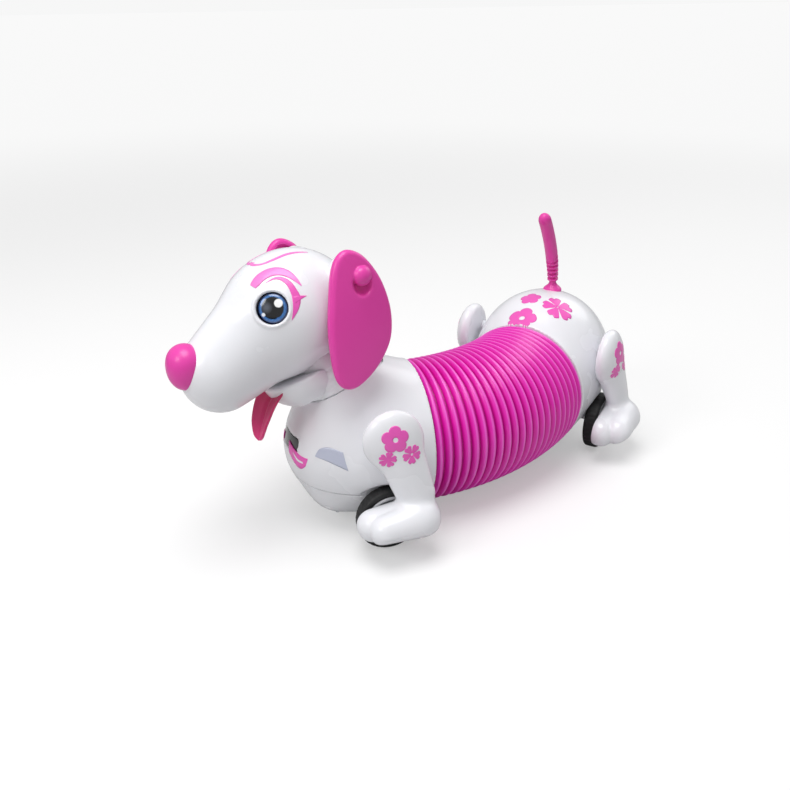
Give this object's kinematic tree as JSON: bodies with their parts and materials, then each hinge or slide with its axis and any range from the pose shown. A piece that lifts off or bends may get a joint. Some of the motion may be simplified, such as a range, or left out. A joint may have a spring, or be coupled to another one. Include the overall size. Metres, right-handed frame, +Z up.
{
  "type": "robot dog toy",
  "caption": "Battery robot dachshund toy: corrugated flexible hose body between two-wheeled chest and rump shells, turning head, hinged ears and a flexible tail.",
  "frame": {"origin": "on the ground below the middle of the front axle", "axes": "+X towards the nose of the front half, +Y to the dog's left, +Z up"},
  "size_m": [0.3363, 0.2063, 0.1807],
  "materials": {
    "white_plastic": "moulded gloss",
    "pink_plastic": "satin soft plastic",
    "hose_pink": "gloss corrugated hose",
    "tongue_pink": "satin soft plastic",
    "tyre_rubber": "black rubber",
    "hub_plastic": "moulded",
    "inner_plastic": "moulded",
    "gear_nylon": "natural nylon",
    "steel": "plated",
    "window_black": "gloss black",
    "board_green": "solder resist",
    "eye_blue": "clear gloss",
    "cable_black": "cable jacket"
  },
  "bodies": {
    "chest": {"chest_shell": "white_plastic", "belly_shell": "white_plastic", "sensor_window": "window_black", "sensor_board": "board_green", "main_board": "board_green", "speaker": "window_black", "chest_screws": "steel", "drive_motor_left": "steel", "drive_motor_right": "steel", "hose_ring_front": "inner_plastic", "hose_bellows": "hose_pink", "power_lead": "cable_black"},
    "wheel_front_left": {"wheel_gear_left": "gear_nylon", "front_hub_left": "hub_plastic", "front_tyre_left": "tyre_rubber"},
    "idler_left": {"idler_gear_left": "gear_nylon"},
    "pinion_left": {"motor_pinion_left": "gear_nylon"},
    "leg_front_left": {"front_leg_left": "white_plastic"},
    "wheel_front_right": {"wheel_gear_right": "gear_nylon", "front_hub_right": "hub_plastic", "front_tyre_right": "tyre_rubber"},
    "idler_right": {"idler_gear_right": "gear_nylon"},
    "pinion_right": {"motor_pinion_right": "gear_nylon"},
    "leg_front_right": {"front_leg_right": "white_plastic"},
    "neck": {"neck_collar": "white_plastic"},
    "head": {"head_shell": "white_plastic", "nod_pin": "steel", "nose": "pink_plastic", "jaw": "white_plastic", "tongue": "tongue_pink", "eye_left": "eye_blue", "eye_right": "eye_blue", "eye_light_board": "board_green"},
    "ear_left": {"ear_left": "pink_plastic"},
    "ear_right": {"ear_right": "pink_plastic"},
    "hose_1": {"hose_hoop_1": "inner_plastic"},
    "hose_2": {"hose_hoop_2": "inner_plastic"},
    "hose_3": {"hose_hoop_3": "inner_plastic"},
    "hose_4": {"hose_hoop_4": "inner_plastic"},
    "hose_5": {"hose_hoop_5": "inner_plastic"},
    "hose_6": {"hose_hoop_6": "inner_plastic"},
    "rump": {"rump_upper_shell": "white_plastic", "rump_lower_shell": "white_plastic", "battery_box": "inner_plastic", "batteries": "steel", "battery_contacts": "steel", "battery_door": "white_plastic", "door_screw": "steel", "rear_axle": "steel", "hose_ring_rear": "inner_plastic"},
    "wheel_rear_left": {"rear_hub_left": "hub_plastic", "rear_tyre_left": "tyre_rubber"},
    "leg_rear_left": {"rear_leg_left": "white_plastic"},
    "wheel_rear_right": {"rear_hub_right": "hub_plastic", "rear_tyre_right": "tyre_rubber"},
    "leg_rear_right": {"rear_leg_right": "white_plastic"},
    "tail_base": {"tail_root": "pink_plastic"},
    "tail_end": {"tail_tip": "pink_plastic"},
    "switch": {"power_switch_knob": "inner_plastic"}
  },
  "joints": [
    {"name": "wheel_front_left_spin", "type": "hinge", "parent": "chest", "child": "wheel_front_left", "pos_m": [0, 0.0465, 0.02], "axis": [0, 1, 0], "continuous": true},
    {"name": "idler_left_spin", "type": "hinge", "parent": "chest", "child": "idler_left", "pos_m": [-0.0099, 0.028, 0.0299], "axis": [0, 1, 0], "continuous": true},
    {"name": "pinion_left_spin", "type": "hinge", "parent": "chest", "child": "pinion_left", "pos_m": [-0.0099, 0.023, 0.0439], "axis": [0, 1, 0], "continuous": true},
    {"name": "leg_front_left_swing", "type": "hinge", "parent": "chest", "child": "leg_front_left", "pos_m": [-0.0015, 0.048, 0.074], "axis": [0, 1, 0], "range_deg": [-8, 8], "stiffness_Nm_per_rad": 0.05},
    {"name": "wheel_front_right_spin", "type": "hinge", "parent": "chest", "child": "wheel_front_right", "pos_m": [0, -0.0465, 0.02], "axis": [0, 1, 0], "continuous": true},
    {"name": "idler_right_spin", "type": "hinge", "parent": "chest", "child": "idler_right", "pos_m": [-0.0099, -0.028, 0.0299], "axis": [0, 1, 0], "continuous": true},
    {"name": "pinion_right_spin", "type": "hinge", "parent": "chest", "child": "pinion_right", "pos_m": [-0.0099, -0.023, 0.0439], "axis": [0, 1, 0], "continuous": true},
    {"name": "leg_front_right_swing", "type": "hinge", "parent": "chest", "child": "leg_front_right", "pos_m": [-0.0015, -0.048, 0.074], "axis": [0, 1, 0], "range_deg": [-8, 8], "stiffness_Nm_per_rad": 0.05},
    {"name": "neck_turn", "type": "hinge", "parent": "chest", "child": "neck", "pos_m": [0.018, 0, 0.095], "axis": [0.5, 0, 0.866], "range_deg": [-53, 17]},
    {"name": "head_nod", "type": "hinge", "parent": "neck", "child": "head", "pos_m": [0.033, 0, 0.12098], "axis": [-0.2676, 0.9511, 0.1545], "range_deg": [-8, 8]},
    {"name": "ear_left_swing", "type": "hinge", "parent": "head", "child": "ear_left", "pos_m": [0.00983, 0.02403, 0.16271], "axis": [-0.2676, 0.9511, 0.1545], "range_deg": [-25, 25]},
    {"name": "ear_right_swing", "type": "hinge", "parent": "head", "child": "ear_right", "pos_m": [0.02884, -0.0435, 0.15174], "axis": [-0.2676, 0.9511, 0.1545], "range_deg": [-25, 25]},
    {"name": "hose_bend_1", "type": "hinge", "parent": "chest", "child": "hose_1", "pos_m": [-0.04366, 0, 0.05], "axis": [0, 0, 1], "range_deg": [-22, 1.5], "deforming": ["hose_bellows", "power_lead"]},
    {"name": "hose_stretch_1", "type": "slide", "parent": "hose_1", "child": "hose_2", "axis": [-0.984, -0.1779, 0], "range_m": [-0.004, 0.012], "deforming": ["hose_bellows", "power_lead"]},
    {"name": "hose_bend_2", "type": "hinge", "parent": "hose_2", "child": "hose_3", "pos_m": [-0.06917, -0.00461, 0.05], "axis": [0, 0, 1], "range_deg": [-22, 1.5], "deforming": ["hose_bellows", "power_lead"]},
    {"name": "hose_stretch_2", "type": "slide", "parent": "hose_3", "child": "hose_4", "axis": [-0.9367, -0.3502, 0], "range_m": [-0.004, 0.012], "deforming": ["hose_bellows", "power_lead"]},
    {"name": "hose_bend_3", "type": "hinge", "parent": "hose_4", "child": "hose_5", "pos_m": [-0.09344, -0.01369, 0.05], "axis": [0, 0, 1], "range_deg": [-22, 1.5], "deforming": ["hose_bellows", "power_lead"]},
    {"name": "hose_stretch_3", "type": "slide", "parent": "hose_5", "child": "hose_6", "axis": [-0.8594, -0.5113, 0], "range_m": [-0.004, 0.012], "deforming": ["hose_bellows", "power_lead"]},
    {"name": "hose_bend_4", "type": "hinge", "parent": "hose_6", "child": "rump", "pos_m": [-0.11572, -0.02694, 0.05], "axis": [0, 0, 1], "range_deg": [-22, 1.5], "deforming": ["hose_bellows", "power_lead"]},
    {"name": "wheel_rear_left_spin", "type": "hinge", "parent": "rump", "child": "wheel_rear_left", "pos_m": [-0.18333, -0.0241, 0.02], "axis": [-0.6561, 0.7547, 0], "continuous": true},
    {"name": "leg_rear_left_swing", "type": "hinge", "parent": "rump", "child": "leg_rear_left", "pos_m": [-0.18544, -0.02395, 0.074], "axis": [-0.6561, 0.7547, 0], "range_deg": [-8, 8], "stiffness_Nm_per_rad": 0.05},
    {"name": "wheel_rear_right_spin", "type": "hinge", "parent": "rump", "child": "wheel_rear_right", "pos_m": [-0.12231, -0.09429, 0.02], "axis": [-0.6561, 0.7547, 0], "continuous": true},
    {"name": "leg_rear_right_swing", "type": "hinge", "parent": "rump", "child": "leg_rear_right", "pos_m": [-0.12246, -0.0964, 0.074], "axis": [-0.6561, 0.7547, 0], "range_deg": [-8, 8], "stiffness_Nm_per_rad": 0.05},
    {"name": "tail_wag", "type": "hinge", "parent": "rump", "child": "tail_base", "pos_m": [-0.1613, -0.06657, 0.11606], "axis": [0.7547, 0.6561, 0], "range_deg": [-20, 20], "stiffness_Nm_per_rad": 0.02, "deforming": ["tail_root"]},
    {"name": "tail_flex", "type": "hinge", "parent": "tail_base", "child": "tail_end", "pos_m": [-0.15959, -0.06507, 0.12536], "axis": [-0.6561, 0.7547, 0], "range_deg": [-25, 20], "stiffness_Nm_per_rad": 0.02, "deforming": ["tail_root"]},
    {"name": "power_switch_slide", "type": "slide", "parent": "rump", "child": "switch", "axis": [-0.6561, 0.7547, 0], "range_m": [0, 0.005]}
  ],
  "couplings": [
    {"joint": "idler_left_spin", "follows": "wheel_front_left_spin", "ratio": -2.3333},
    {"joint": "pinion_left_spin", "follows": "wheel_front_left_spin", "ratio": 7},
    {"joint": "idler_right_spin", "follows": "wheel_front_right_spin", "ratio": -2.3333},
    {"joint": "pinion_right_spin", "follows": "wheel_front_right_spin", "ratio": 7},
    {"joint": "hose_bend_1", "follows": "hose_bend_4", "ratio": 1},
    {"joint": "hose_bend_2", "follows": "hose_bend_4", "ratio": 1},
    {"joint": "hose_stretch_2", "follows": "hose_stretch_1", "ratio": 1},
    {"joint": "hose_bend_3", "follows": "hose_bend_4", "ratio": 1},
    {"joint": "hose_stretch_3", "follows": "hose_stretch_1", "ratio": 1}
  ]
}
